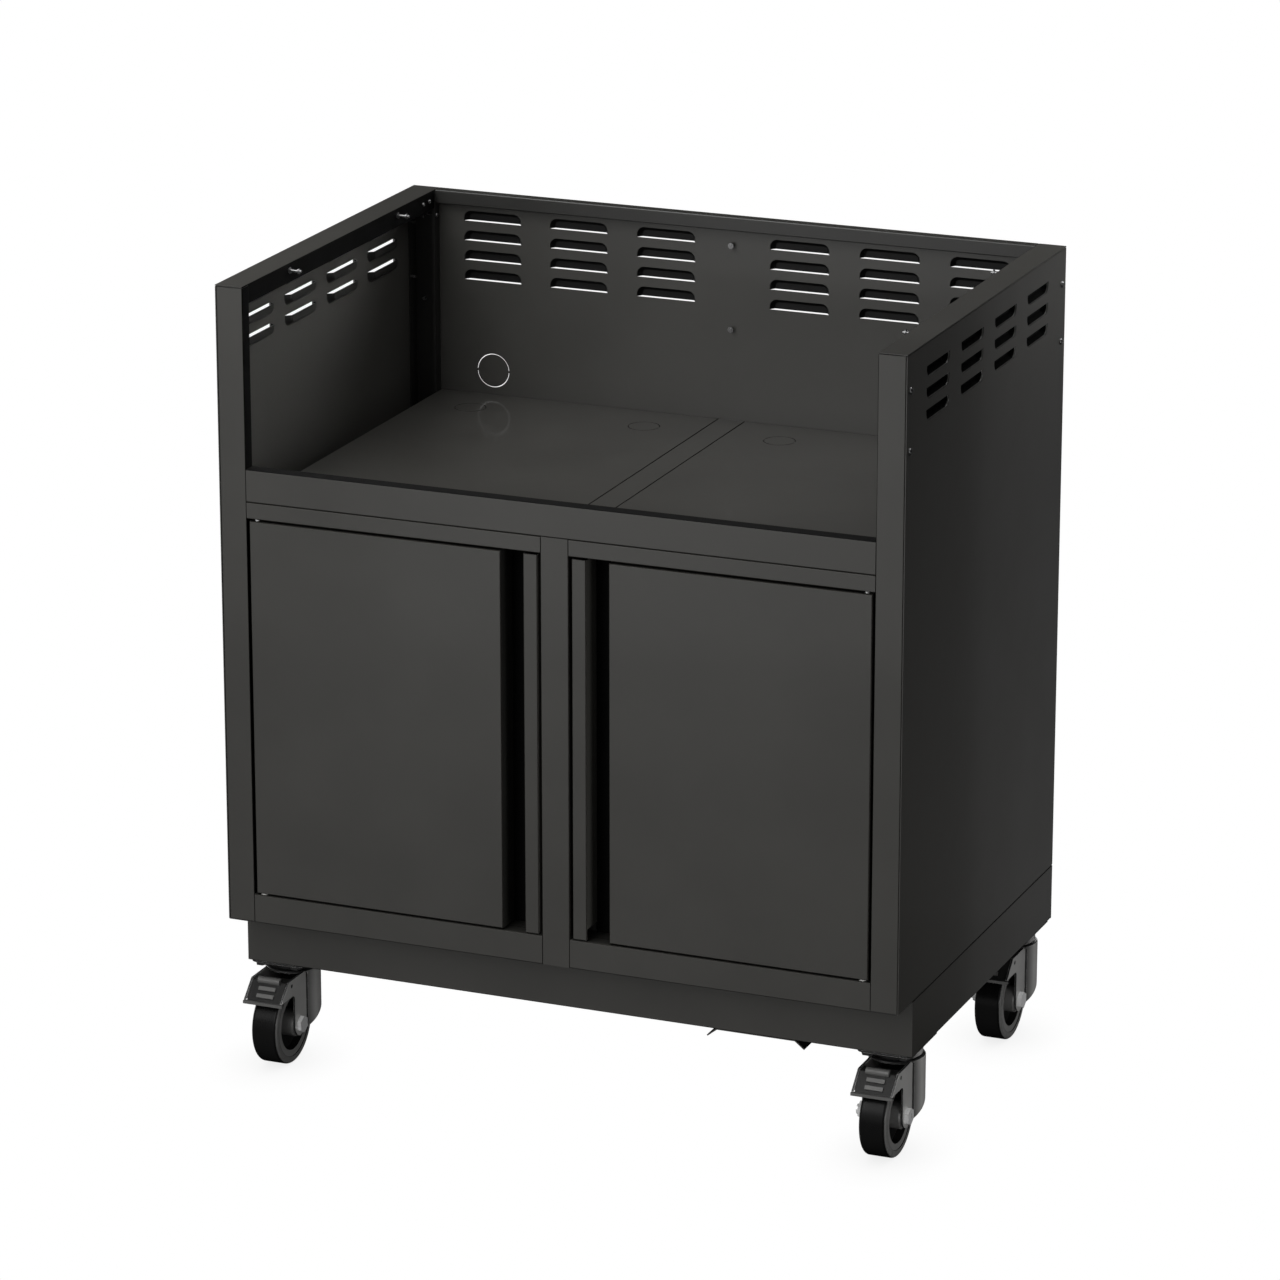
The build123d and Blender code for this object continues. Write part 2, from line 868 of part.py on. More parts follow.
# Magnetic catches hung under the bay floor, behind the free corners of the doors
with BuildPart() as door_catches:
    catch_front = door_back + catch_gap
    catch_side = door_inner + catch_inset
    catch_top = door_top - catch_inset
    shelf_under = shelf_top - sheet
    magnet_low = (catch_side, catch_front, catch_top - catch_height)
    add(block(magnet_low, (catch_side + catch_width, catch_front + catch_depth, catch_top)))
    plate_low = (catch_side, catch_front + catch_depth - catch_plate, catch_top)
    add(block(plate_low, (catch_side + catch_width, catch_front + catch_depth, shelf_under)))
    mirror(about=Plane.YZ)
keep(door_catches, "door_catches")

# Doors: a front tray, the handle strip with its finger groove, and a flat back
with BuildPart() as door_panel:
    add(
        tray(
            (groove_outer, front, door_bottom),
            (door_outer, liner_front, door_top),
            Axis.Y,
        )
    )
    add(
        block(
            (groove_outer - overrun, groove_floor, door_bottom - overrun),
            (groove_outer + sheet, liner_front + overrun, door_top + overrun),
        ),
        mode=Mode.SUBTRACT,
    )
    with BuildSketch(Plane.XY.offset(door_bottom - overrun)):
        with Locations((pivot_x, pivot_y)):
            Circle(pin_radius + fit_gap)
    extrude(amount=door_top - door_bottom + 2 * overrun, mode=Mode.SUBTRACT)
keep_pair(door_panel, "door_panel")

with BuildPart() as handle_channel:
    extrude(
        folded(
            Plane.XY.offset(door_bottom),
            (door_inner, liner_front),
            (door_inner, front),
            (groove_inner, front),
            (groove_inner, groove_floor),
            (groove_outer + sheet, groove_floor),
        ),
        amount=door_top - door_bottom,
    )
    add(
        block(
            (groove_inner - sheet - fit_gap, front + bend_radius, door_bottom - overrun),
            (groove_inner + fit_gap, groove_floor - bend_radius, door_bottom + handle_notch_height),
        ),
        mode=Mode.SUBTRACT,
    )
keep_pair(handle_channel, "handle_channel")

with BuildPart() as door_liner:
    add(block((door_inner, liner_front, door_bottom), (door_outer, door_back, door_top)))
keep_pair(door_liner, "door_liner")

with BuildPart() as hinge_pins:
    shoulder_top = door_top - sheet
    shoulder_bottom = door_bottom + sheet
    collar = door_bottom_gap - bushing_flange - thrust_gap
    with BuildSketch(Plane.XY.offset(shoulder_top - pin_shoulder_length)):
        with Locations((pivot_x, pivot_y)):
            Circle(pin_shoulder_radius)
    extrude(amount=pin_shoulder_length)
    with BuildSketch(Plane.XY.offset(shoulder_top)):
        with Locations((pivot_x, pivot_y)):
            Circle(pin_radius)
    extrude(amount=top_bush + pin_tip - shoulder_top)
    with BuildSketch(Plane.XY.offset(shoulder_bottom)):
        with Locations((pivot_x, pivot_y)):
            Circle(pin_shoulder_radius)
    extrude(amount=pin_shoulder_length)
    with BuildSketch(Plane.XY.offset(bottom_bush - pin_tip)):
        with Locations((pivot_x, pivot_y)):
            Circle(pin_radius)
    extrude(amount=shoulder_bottom - bottom_bush + pin_tip)
    with BuildSketch(Plane.XY.offset(door_bottom - collar)):
        with Locations((pivot_x, pivot_y)):
            Circle(pin_shoulder_radius)
    extrude(amount=collar)
keep_pair(hinge_pins, "hinge_pins")

# Caster mounting plates with the fixed half of the swivel bearing
with BuildPart() as caster_top_plate:
    with BuildSketch(Plane.XY.offset(plate_bottom)):
        RectangleRounded(plate_width, plate_length, plate_corner)
        with Locations(*bolt_offsets):
            Circle(caster_bolt_radius + caster_bolt_clearance, mode=Mode.SUBTRACT)
    extrude(amount=plate_thickness)
    with BuildSketch(Plane.XY.offset(race_bottom)):
        Circle(race_radius)
    extrude(amount=race_height)
    fillet(faces().sort_by(Axis.Z)[0].edges(), race_edge)
    with BuildSketch(Plane.XY.offset(race_bottom)):
        Circle(kingpin_radius + fit_gap)
    extrude(amount=race_height + plate_thickness, mode=Mode.SUBTRACT)

with BuildPart() as caster_top_plates:
    with Locations(*caster_places.values()):
        add(caster_top_plate.part)
keep(caster_top_plates, "caster_top_plates")

# Bolts from below through plate and plinth foot, with nuts inside the plinth
bolt_spots = [
    (x + dx, y + dy) for x, y in caster_places.values() for dx, dy in bolt_offsets
]
nut_level = caster_height + sheet
with BuildPart() as caster_bolt:
    with Locations((0, 0, plate_bottom - caster_bolt_head)):
        add(hexagon(caster_bolt_flats, caster_bolt_head))
    with BuildSketch(Plane.XY.offset(plate_bottom)):
        Circle(caster_bolt_radius)
    extrude(amount=nut_level - plate_bottom + caster_nut_height + caster_bolt_stub)
    with Locations((0, 0, nut_level)):
        add(hexagon(caster_bolt_flats, caster_nut_height, caster_bolt_radius + fit_gap))

with BuildPart() as caster_fasteners:
    with Locations(*bolt_spots):
        add(caster_bolt.part)
keep(caster_fasteners, "caster_fasteners")

# Swivel fork: a drawn crown and rear cowl round the swivel axis, with two legs to the axle
axle_y = -caster_trail
leg_front = axle_y - leg_radius
cowl_rear_level = wheel_radius + cowl_rear_rise
cowl_front_level = wheel_radius - cowl_front_drop
with BuildPart() as swivel_fork:
    with BuildSketch(Plane.XY.offset(crown_top)):
        Circle(crown_radius)
    extrude(amount=cowl_front_level - crown_top)
    fillet(faces().sort_by(Axis.Z)[-1].edges(), crown_edge)
    with BuildSketch(Plane.XY.offset(crown_top - fork_sheet)):
        Circle(crown_radius - fork_sheet)
    extrude(amount=cowl_front_level - crown_top - overrun, mode=Mode.SUBTRACT)
    with BuildSketch(along(-crown_radius - overrun)):
        with BuildLine():
            Polyline(
                (-crown_radius - overrun, crown_top - fork_sheet),
                (-leg_rear_overlap, crown_top - fork_sheet),
                (-leg_rear_overlap, cowl_front_level),
                (crown_radius, cowl_rear_level),
                (crown_radius + overrun, cowl_rear_level),
                (crown_radius + overrun, cowl_front_level - overrun),
                (-crown_radius - overrun, cowl_front_level - overrun),
                close=True,
            )
        make_face()
    extrude(amount=2 * (crown_radius + overrun), mode=Mode.SUBTRACT)
    with BuildSketch(along(fork_inner_width / 2)) as leg:
        with BuildLine():
            Polyline(
                (-leg_rear_overlap, leg_top),
                (axle_y - arm_shoulder, leg_top),
                (axle_y - arm_reach, arm_level),
                (leg_front, arm_level),
                (leg_front, wheel_radius),
                (-leg_rear_overlap, wheel_radius),
                close=True,
            )
        make_face()
        inner_corner = vertices().sort_by(Axis.Y).sort_by_distance((leg_front, arm_level))[0]
        fillet(inner_corner, leg_front_curve)
        with Locations((axle_y, wheel_radius)):
            Circle(leg_radius)
            Circle(axle_radius + fit_gap, mode=Mode.SUBTRACT)
        with Locations((pedal_pivot_y, pedal_pivot_level)):
            Circle(pedal_pin_radius + fit_gap, mode=Mode.SUBTRACT)
    extrude(amount=fork_sheet)
    with BuildSketch(along(-fork_inner_width / 2 - fork_sheet)):
        add(leg.sketch_local)
    extrude(amount=fork_sheet)
    with BuildSketch(Plane.XY.offset(crown_top)):
        Circle(kingpin_radius)
    extrude(amount=caster_height - kingpin_head_gap - crown_top)

# Tyre and hub, turned about the axle
with BuildPart() as tyre:
    with BuildSketch(Plane.XZ) as tread:
        with Locations((0, (wheel_radius + rim_radius) / 2)):
            Rectangle(wheel_width, wheel_radius - rim_radius)
        fillet(tread.vertices().group_by(Axis.Y)[-1], tyre_shoulder)
    revolve(axis=Axis.X)

with BuildPart() as hub:
    with BuildSketch(Plane.YZ):
        Circle(rim_radius - fit_gap)
        Circle(dish_radius, mode=Mode.SUBTRACT)
    extrude(amount=rim_width / 2, both=True)
    with BuildSketch(Plane.YZ):
        Circle(dish_radius)
    extrude(amount=web_width / 2, both=True)
    with BuildSketch(Plane.YZ):
        Circle(boss_radius)
    extrude(amount=boss_width / 2, both=True)
    boss_ends = faces().group_by(Axis.X)
    chamfer(boss_ends[0].edges() + boss_ends[-1].edges(), boss_edge)
    with BuildSketch(Plane.YZ):
        Circle(axle_radius + fit_gap)
    extrude(amount=boss_width, both=True, mode=Mode.SUBTRACT)

# Axle bolt, head on the right and nut on the left
with BuildPart() as axle_bolt:
    with Locations(Location((fork_outer, 0, 0), (0, 90, 0))):
        add(hexagon(axle_flats, axle_head))
    with BuildSketch(along(-fork_outer - axle_nut - axle_stub)):
        Circle(axle_radius)
    extrude(amount=2 * fork_outer + axle_nut + axle_stub)
    with Locations(Location((-fork_outer - axle_nut, 0, 0), (0, 90, 0))):
        add(hexagon(axle_flats, axle_nut, axle_radius + fit_gap))

# Brake pedal: a folded plate between the legs with a wide lip, a round bar and two ribs
pedal_side = pedal_width / 2
with BuildPart() as brake_pedal:
    extrude(
        folded(
            along(-pedal_side),
            (pedal_rear_y, pedal_top_level),
            (pedal_knee_y, pedal_top_level),
            (pedal_foot_y, pedal_foot_level),
            thickness=pedal_sheet,
        ),
        amount=pedal_width,
    )
    lip_back = pedal_foot_y + pedal_sheet
    add(
        block(
            (-pedal_lip_width / 2, lip_back - pedal_lip_depth, pedal_foot_level - pedal_lip_height / 2),
            (pedal_lip_width / 2, lip_back, pedal_foot_level + pedal_lip_height / 2),
        )
    )
    with BuildSketch(along(pedal_side - pedal_ear_sheet)) as ear:
        with Locations((pedal_pivot_y, pedal_pivot_level)):
            Circle(pedal_ear_radius)
    extrude(amount=pedal_ear_sheet)
    with BuildSketch(along(-pedal_side)):
        add(ear.sketch_local)
    extrude(amount=pedal_ear_sheet)
    with BuildSketch(along(-pedal_pin_reach)):
        with Locations((pedal_pivot_y, pedal_pivot_level)):
            Circle(pedal_pin_radius)
    extrude(amount=2 * pedal_pin_reach)
    with BuildSketch(along(-pedal_bar_length / 2)):
        with Locations((pedal_knee_y, pedal_top_level)):
            Circle(pedal_bar_radius)
    extrude(amount=pedal_bar_length)
    slope = Vector(0, pedal_foot_y - pedal_knee_y, pedal_foot_level - pedal_top_level)
    for share in pedal_rib_shares:
        centre = Vector(0, pedal_knee_y, pedal_top_level) + slope * share
        with BuildSketch(Plane(centre, x_dir=(1, 0, 0), z_dir=(0, slope.Z, -slope.Y))):
            Rectangle(pedal_rib_width, pedal_rib_length)
        extrude(amount=pedal_rib_height)

# Each caster's moving pieces at its own place
for corner, (x, y) in caster_places.items():
    wheel_centre = (x, y + axle_y, wheel_radius)
    for name, piece, spot in (
        ("swivel_fork", swivel_fork, (x, y)),
        ("brake_pedal", brake_pedal, (x, y)),
        ("tyre", tyre, wheel_centre),
        ("hub", hub, wheel_centre),
        ("axle_bolt", axle_bolt, wheel_centre),
    ):
        with BuildPart() as placed:
            with Locations(spot):
                add(piece.part)
        keep(placed, f"{corner}_{name}")
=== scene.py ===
import json
import math

import bmesh
import bpy
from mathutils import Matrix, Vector

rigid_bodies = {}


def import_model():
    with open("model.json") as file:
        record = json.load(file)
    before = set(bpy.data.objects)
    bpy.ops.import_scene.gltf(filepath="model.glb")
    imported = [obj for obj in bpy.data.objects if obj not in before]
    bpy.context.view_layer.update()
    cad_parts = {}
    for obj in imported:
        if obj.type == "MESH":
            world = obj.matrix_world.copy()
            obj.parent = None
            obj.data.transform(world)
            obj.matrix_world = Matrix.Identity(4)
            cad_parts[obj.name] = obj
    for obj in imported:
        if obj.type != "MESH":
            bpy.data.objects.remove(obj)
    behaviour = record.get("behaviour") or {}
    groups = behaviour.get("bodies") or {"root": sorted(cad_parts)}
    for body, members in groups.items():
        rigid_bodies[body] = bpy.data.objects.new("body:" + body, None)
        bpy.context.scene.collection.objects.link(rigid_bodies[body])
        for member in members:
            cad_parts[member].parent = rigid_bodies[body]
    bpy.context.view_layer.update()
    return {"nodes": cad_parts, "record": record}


# Looks of the outdoor kitchen cabinet, in metres, in the frame of the CAD model: the origin is on
# the ground under the middle of the case, the doors face -Y and +Z is up.
for leftover in list(bpy.data.objects):
    bpy.data.objects.remove(leftover)
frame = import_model()
for plain in list(bpy.data.materials):
    bpy.data.materials.remove(plain)
nodes = frame["nodes"]
slot_of = {row["node"]: row["material_slot"] for row in frame["record"]["subparts"]}

CORNERS = ("front_left", "front_right", "rear_left", "rear_right")

# Casters: the swivel axes' places, and the axle's in front of them and over the ground
SWIVEL_FRONT = -0.1764
SWIVEL_REAR = 0.2249
AXLE_TRAIL = 0.034
WHEEL_RADIUS = 0.05

# Hub: the raised ring's two radii, the boss's radius and half the width of their soft edges
HUB_RING = (0.0332, 0.042)
HUB_BOSS = 0.0163
HUB_SOFT = 0.0002

# Pedal: its knee's place and height, and its plate's slope as a cosine and a sine
PEDAL_KNEE = (-0.064, 0.111)
PEDAL_RUN = 0.6566
PEDAL_FALL = 0.7542

# Case: distances from the middle to the skins and the bay's edge, and the width of their change
SIDE_SKIN = 0.4172
REAR_SKIN = 0.2742
BAY_EDGE = 0.387
SKIN_SOFT = 0.0003

# Where a finish starts to change and has changed: over and down the pedal's plate, in height on
# the fork and the mounting plate, where their painted shade starts, and from front to rear in the
# finger groove, where its bottom's painted shade starts
PEDAL_RIBS = (0.0003, 0.0007)
PEDAL_LIP = (0.0285, 0.029)
CROWN_LEVEL = (0.1025, 0.1045)
PLATE_LEVEL = (0.1235, 0.1245)
GROOVE_FLOOR = (-0.2435, -0.2425)

# Ranges of how far a face looks along an axis, from -1 to 1
LOOKS_SIDEWAYS = (0.55, 0.8)
LOOKS_FORWARD = (-0.6, -0.2)
LOOKS_BACK = (0.0, 0.3)
LOOKS_UP = (0.3, 0.6)
LOOKS_RIGHT = (0.7, 0.9)
BETWEEN_AXES = (0.93, 0.985)
# The same times the face's place from left to right
LOOKS_OUTWARD = (0.0, 0.05)
# How far a face's normal and its rounded one agree, from a flat to a sharp edge
FLAT_TO_SHARP = (0.995, 0.90)

# Noise inside a finish: the parts of its range that show, and the detail of its layers
CLOUD_DRIFT = (0.35, 0.65)
GLOSS_DRIFT = (0.3, 0.7)
CLOUD_DETAIL = 4.0
GRAIN_DETAIL = 2.0

# Worn edges, and the powder coat's painted dark edges, are broken up by noise, and painted shade
# darkens a hollow as less space is open around it
WEAR_SCALE = 90.0
WEAR_NOISE = (0.35, 0.6)
WEAR_LEAST = 0.35
HOLLOW_TO_OPEN = (0.1, 0.75)
SURFACE_SAMPLES = 4

# Powder coat: its greys in linear light, with the painted shade of its bends and edges, how warm
# they are, and the roughness that a bend adds
COAT_GREY = 0.036
COAT_TINT = 0.041
COAT_BEND_SHADE = 0.03
COAT_EDGE_SHADE = 0.014
COAT_WARMTH = 0.09
EDGE_SHADE_WARMTH = 0.04
BEND_DULLING = 0.2

# The part of a grey's warmth that is added to red, while blue loses all of it
RED_SHARE = 0.3

# Camera at the photograph's view
CAMERA_AZIMUTH = math.radians(22.339)
CAMERA_ELEVATION = math.radians(17.441)
CAMERA_DISTANCE = 6.7863
CAMERA_TARGET = Vector((-0.00787, 0.0, 0.510))
CAMERA_REACH = 100
LENS = 161.95
SENSOR = 36.0


def direction(azimuth, elevation):
    """Unit vector from the object towards a point at this azimuth and elevation, in radians."""
    return Vector((
        math.sin(azimuth) * math.cos(elevation),
        -math.cos(azimuth) * math.cos(elevation),
        math.sin(elevation),
    ))


def make_camera():
    data = bpy.data.cameras.new("camera")
    data.lens = LENS
    data.sensor_width = SENSOR
    data.clip_end = CAMERA_REACH
    camera = bpy.data.objects.new("camera", data)
    back = direction(CAMERA_AZIMUTH, CAMERA_ELEVATION)
    camera.location = CAMERA_TARGET + back * CAMERA_DISTANCE
    camera.rotation_euler = (-back).to_track_quat("-Z", "Y").to_euler()
    bpy.context.scene.collection.objects.link(camera)
    bpy.context.scene.camera = camera


# Node trees
def feed(tree, socket, value):
    """Link a node's output to a socket, or set a constant on it."""
    if isinstance(value, bpy.types.NodeSocket):
        tree.links.new(value, socket)
    else:
        socket.default_value = value


def put(tree, kind, settings=(), **sockets):
    """Add a node, set its own settings, and set or link its input sockets by name."""
    node = tree.nodes.new(kind)
    for name, value in dict(settings).items():
        setattr(node, name, value)
    for name, value in sockets.items():
        feed(tree, node.inputs[name.replace("_", " ")], value)
    return node


def noise(tree, place, scale, detail=3.0, roughness=0.55):
    """Noise between 0 and 1 with features of about one over the scale, in metres."""
    made = put(
        tree, "ShaderNodeTexNoise", Vector=place, Scale=scale, Detail=detail, Roughness=roughness
    )
    return made.outputs["Fac"]


def remap(tree, value, low, high, to_low, to_high):
    """Carry a range of values over to another, clamped at its ends."""
    made = put(
        tree, "ShaderNodeMapRange",
        Value=value, From_Min=low, From_Max=high, To_Min=to_low, To_Max=to_high,
    )
    return made.outputs["Result"]


def rising(tree, value, start, end):
    """0 up to the start of a range, 1 from its end."""
    return remap(tree, value, start, end, 0.0, 1.0)


def falling(tree, value, start, end):
    """1 up to the start of a range, 0 from its end."""
    return remap(tree, value, start, end, 1.0, 0.0)


def mix_colour(tree, share, first, second):
    """The first colour, or as much of the second as the share says."""
    made = put(tree, "ShaderNodeMix", {"data_type": "RGBA"})
    # Inputs 0, 6 and 7 and output 2 are those for colours
    for index, value in ((0, share), (6, first), (7, second)):
        feed(tree, made.inputs[index], value)
    return made.outputs[2]


def calculate(tree, operation, first, second=0.0):
    made = put(tree, "ShaderNodeMath", {"operation": operation})
    for socket, value in zip(made.inputs, (first, second)):
        feed(tree, socket, value)
    return made.outputs[0]


def plus(tree, first, second):
    return calculate(tree, "ADD", first, second)


def minus(tree, first, second):
    return calculate(tree, "SUBTRACT", first, second)


def times(tree, first, second):
    return calculate(tree, "MULTIPLY", first, second)


def magnitude(tree, value):
    return calculate(tree, "ABSOLUTE", value)


def agreement(tree, first, second):
    """1 where two unit directions agree, -1 where they are opposite."""
    made = put(tree, "ShaderNodeVectorMath", {"operation": "DOT_PRODUCT"})
    for socket, value in zip(made.inputs, (first, second)):
        feed(tree, socket, value)
    return made.outputs["Value"]


def along(tree, vector, axis):
    return put(tree, "ShaderNodeSeparateXYZ", Vector=vector).outputs[axis]


def facing(tree, axis):
    """How far a face looks along one axis, in the piece's own frame."""
    return along(tree, put(tree, "ShaderNodeTexCoord").outputs["Normal"], axis)


def sideways(tree):
    """1 on faces that look to the left or right, which is along the axle on a wheel."""
    return rising(tree, magnitude(tree, facing(tree, "X")), *LOOKS_SIDEWAYS)


def worn_or_shaded_edges(tree, radius):
    """1 on sharp and small-radius outer edges, 0 on flats."""
    rounded = put(tree, "ShaderNodeBevel", {"samples": SURFACE_SAMPLES}, Radius=radius)
    flat = put(tree, "ShaderNodeNewGeometry")
    agreed = agreement(tree, rounded.outputs["Normal"], flat.outputs["Normal"])
    return rising(tree, agreed, *FLAT_TO_SHARP)


# Zones of the casters: each function gives 1 where a finish changes; on the forks and mounting
# plates that change is painted shade
def caster_frame(tree, place):
    """Place behind a caster's swivel axis, and height over the ground."""
    parts = put(tree, "ShaderNodeSeparateXYZ", Vector=place)
    is_rear = calculate(tree, "GREATER_THAN", parts.outputs["Y"], 0.0)
    axis = plus(tree, times(tree, is_rear, SWIVEL_REAR - SWIVEL_FRONT), SWIVEL_FRONT)
    return minus(tree, parts.outputs["Y"], axis), parts.outputs["Z"]


def caster_height(tree, place):
    return caster_frame(tree, place)[1]


def axle_radius(tree, place):
    """Distance from the wheel's axle."""
    behind, height = caster_frame(tree, place)
    across = plus(tree, behind, AXLE_TRAIL)
    level = minus(tree, height, WHEEL_RADIUS)
    squares = plus(tree, times(tree, across, across), times(tree, level, level))
    return calculate(tree, "SQRT", squares)


def tyre_side(tree, place):
    return sideways(tree)


def hub_rim(tree, place):
    """The raised ring round the hub's side."""
    radius = axle_radius(tree, place)
    inner, outer = HUB_RING
    outside = rising(tree, radius, inner - HUB_SOFT, inner + HUB_SOFT)
    inside = falling(tree, radius, outer - HUB_SOFT, outer + HUB_SOFT)
    return times(tree, sideways(tree), times(tree, outside, inside))


def hub_boss(tree, place):
    return falling(tree, axle_radius(tree, place), HUB_BOSS - HUB_SOFT, HUB_BOSS + HUB_SOFT)


def pedal_raised(tree, place):
    """The bar, ribs and lip, which stand over the pedal's plate."""
    behind, height = caster_frame(tree, place)
    back = minus(tree, behind, PEDAL_KNEE[0])
    up = minus(tree, height, PEDAL_KNEE[1])
    over = minus(tree, times(tree, up, PEDAL_RUN), times(tree, back, PEDAL_FALL))
    down = plus(tree, times(tree, back, -PEDAL_RUN), times(tree, up, -PEDAL_FALL))
    raised = rising(tree, over, *PEDAL_RIBS)
    return calculate(tree, "MAXIMUM", raised, rising(tree, down, *PEDAL_LIP))


def fork_front_shade(tree, place):
    """Painted shade on the front edges of a fork's legs."""
    return falling(tree, facing(tree, "Y"), *LOOKS_FORWARD)


def crown_shade(tree, place):
    """Painted shade on the front and top of a fork's crown, which lie in the shade of the plinth.
    """
    high = rising(tree, caster_height(tree, place), *CROWN_LEVEL)
    return times(tree, high, minus(tree, 1.0, sideways(tree)))


# Painted shade on the mounting plates, under the plinth
def mounting_plate_shade(tree, place):
    return rising(tree, caster_height(tree, place), *PLATE_LEVEL)


# Zones of the case: each function gives 1 where a finish changes to painted shade, on some faces
# to painted light
def inside_of(tree, place, axis, limit):
    """1 where a place lies nearer the middle of the case than a limit on one axis."""
    distance = magnitude(tree, along(tree, place, axis))
    return falling(tree, distance, limit - SKIN_SOFT, limit)


def side_hood_shade(tree, place):
    """Painted shade on the pressed hoods, which stand inward from the side's skin."""
    return inside_of(tree, place, "X", SIDE_SKIN)


def side_louvre_shade(tree, place):
    """Painted shade on the hollow outer side of those hoods."""
    looks_out = times(tree, along(tree, place, "X"), facing(tree, "X"))
    return times(tree, side_hood_shade(tree, place), rising(tree, looks_out, *LOOKS_OUTWARD))


def rear_louvre_shade(tree, place):
    """Painted shade on the inside of the rear hoods, which stand out behind the skin."""
    inward = falling(tree, facing(tree, "Y"), *LOOKS_BACK)
    behind = minus(tree, 1.0, inside_of(tree, place, "Y", REAR_SKIN))
    return times(tree, inward, behind)


def inner_return_shade(tree, place):
    """Painted shade on the flange that a cap or post turns towards the bay."""
    return times(tree, sideways(tree), inside_of(tree, place, "X", BAY_EDGE))


def upper_flange_shade_and_highlight(tree, place):
    """Faces that look up: painted shade on the apron's flange, a painted highlight on the rear
    rail's.
    """
    return rising(tree, facing(tree, "Z"), *LOOKS_UP)


def bends(tree, place):
    """Where the sheet's bends get painted shade: faces that look between two axes."""
    most = 0.0
    for axis in "XYZ":
        most = calculate(tree, "MAXIMUM", most, magnitude(tree, facing(tree, axis)))
    return falling(tree, most, *BETWEEN_AXES)


def groove_wall_light(tree, place):
    """Painted light on the groove's walls that look to the right."""
    return rising(tree, facing(tree, "X"), *LOOKS_RIGHT)


def groove_bottom_shade(tree, place):
    """Painted shade on the bottom of a door's finger groove."""
    return rising(tree, along(tree, place, "Y"), *GROOVE_FLOOR)


# Finishes
def grey(value, warmth=0.0):
    """Neutral colour in linear light, a little warmer where warmth is above zero."""
    return (value * (1 + RED_SHARE * warmth), value, value * (1 - warmth), 1.0)


def finish_material(
    name,
    colour,
    tint,
    edge_wear_or_shade,
    roughness,
    spread,
    grain_size,
    grain_height,
    edge_radius,
    metallic=0.0,
    specular=0.5,
    coat=0.0,
    coat_roughness=0.1,
    cloud_size=0.12,
    zones=(),
    painted_hollow_reach=0.0,
    painted_hollow_shade=1.0,
    edge_dulling=0.0,
):
    """One finish: colour drifting to its tint in soft clouds, other colours in zones, among them
    painted shade and painted light, painted shade in corners and gaps, a fine grain in height and
    roughness, and edges turned to another colour, of wear on most finishes and of painted shade on
    the powder coat.

    A zone is its function, its colour and the roughness that it adds. A zone or edge that adds
    roughness loses the clear coat, and such a zone turns metallic, so that it has no pale sheen.
    """
    material = bpy.data.materials.new(name)
    material.use_nodes = True
    tree = material.node_tree
    tree.nodes.clear()
    output = put(tree, "ShaderNodeOutputMaterial")
    shader = put(
        tree, "ShaderNodeBsdfPrincipled", Metallic=metallic, Specular_IOR_Level=specular,
        Coat_Weight=coat, Coat_Roughness=coat_roughness,
    )
    place = put(tree, "ShaderNodeTexCoord").outputs["Object"]
    clouds = noise(tree, place, 1 / cloud_size, detail=CLOUD_DETAIL)
    grain = noise(tree, place, 1 / grain_size, detail=GRAIN_DETAIL)
    shown = mix_colour(tree, rising(tree, clouds, *CLOUD_DRIFT), colour, tint)
    duller = 0.0
    gloss = coat
    metal = metallic
    for zone, zone_colour, dulling in zones:
        share = zone(tree, place)
        shown = mix_colour(tree, share, shown, zone_colour)
        if dulling:
            duller = plus(tree, duller, times(tree, share, dulling))
            gloss = times(tree, gloss, minus(tree, 1.0, share))
            metal = calculate(tree, "MAXIMUM", metal, share)
    # Painted shade: the colour is darkened towards black in hollows, by ambient occlusion
    if painted_hollow_reach:
        around = put(
            tree, "ShaderNodeAmbientOcclusion", {"samples": SURFACE_SAMPLES}, Distance=painted_hollow_reach
        )
        shade = remap(tree, around.outputs["AO"], *HOLLOW_TO_OPEN, painted_hollow_shade, 0.0)
        shown = mix_colour(tree, shade, shown, grey(0.0))
    # Edges take the edge colour: wear on most finishes, painted shade on the powder coat
    if edge_radius:
        edge = worn_or_shaded_edges(tree, edge_radius)
        patches = remap(tree, noise(tree, place, WEAR_SCALE), *WEAR_NOISE, WEAR_LEAST, 1.0)
        shown = mix_colour(tree, times(tree, edge, patches), shown, edge_wear_or_shade)
        if edge_dulling:
            duller = plus(tree, duller, times(tree, edge, edge_dulling))
            gloss = times(tree, gloss, minus(tree, 1.0, edge))
    patchy = remap(tree, clouds, *GLOSS_DRIFT, roughness - spread, roughness + spread)
    fine = remap(tree, grain, *GLOSS_DRIFT, -spread / 2, spread / 2)
    bump = put(tree, "ShaderNodeBump", Height=grain, Strength=1.0, Distance=grain_height)
    feed(tree, shader.inputs["Coat Weight"], gloss)
    feed(tree, shader.inputs["Metallic"], metal)
    feed(tree, shader.inputs["Base Color"], shown)
    feed(tree, shader.inputs["Roughness"], plus(tree, plus(tree, patchy, fine), duller))
    feed(tree, shader.inputs["Normal"], bump.outputs["Normal"])
    feed(tree, output.inputs["Surface"], shader.outputs["BSDF"])
    return material


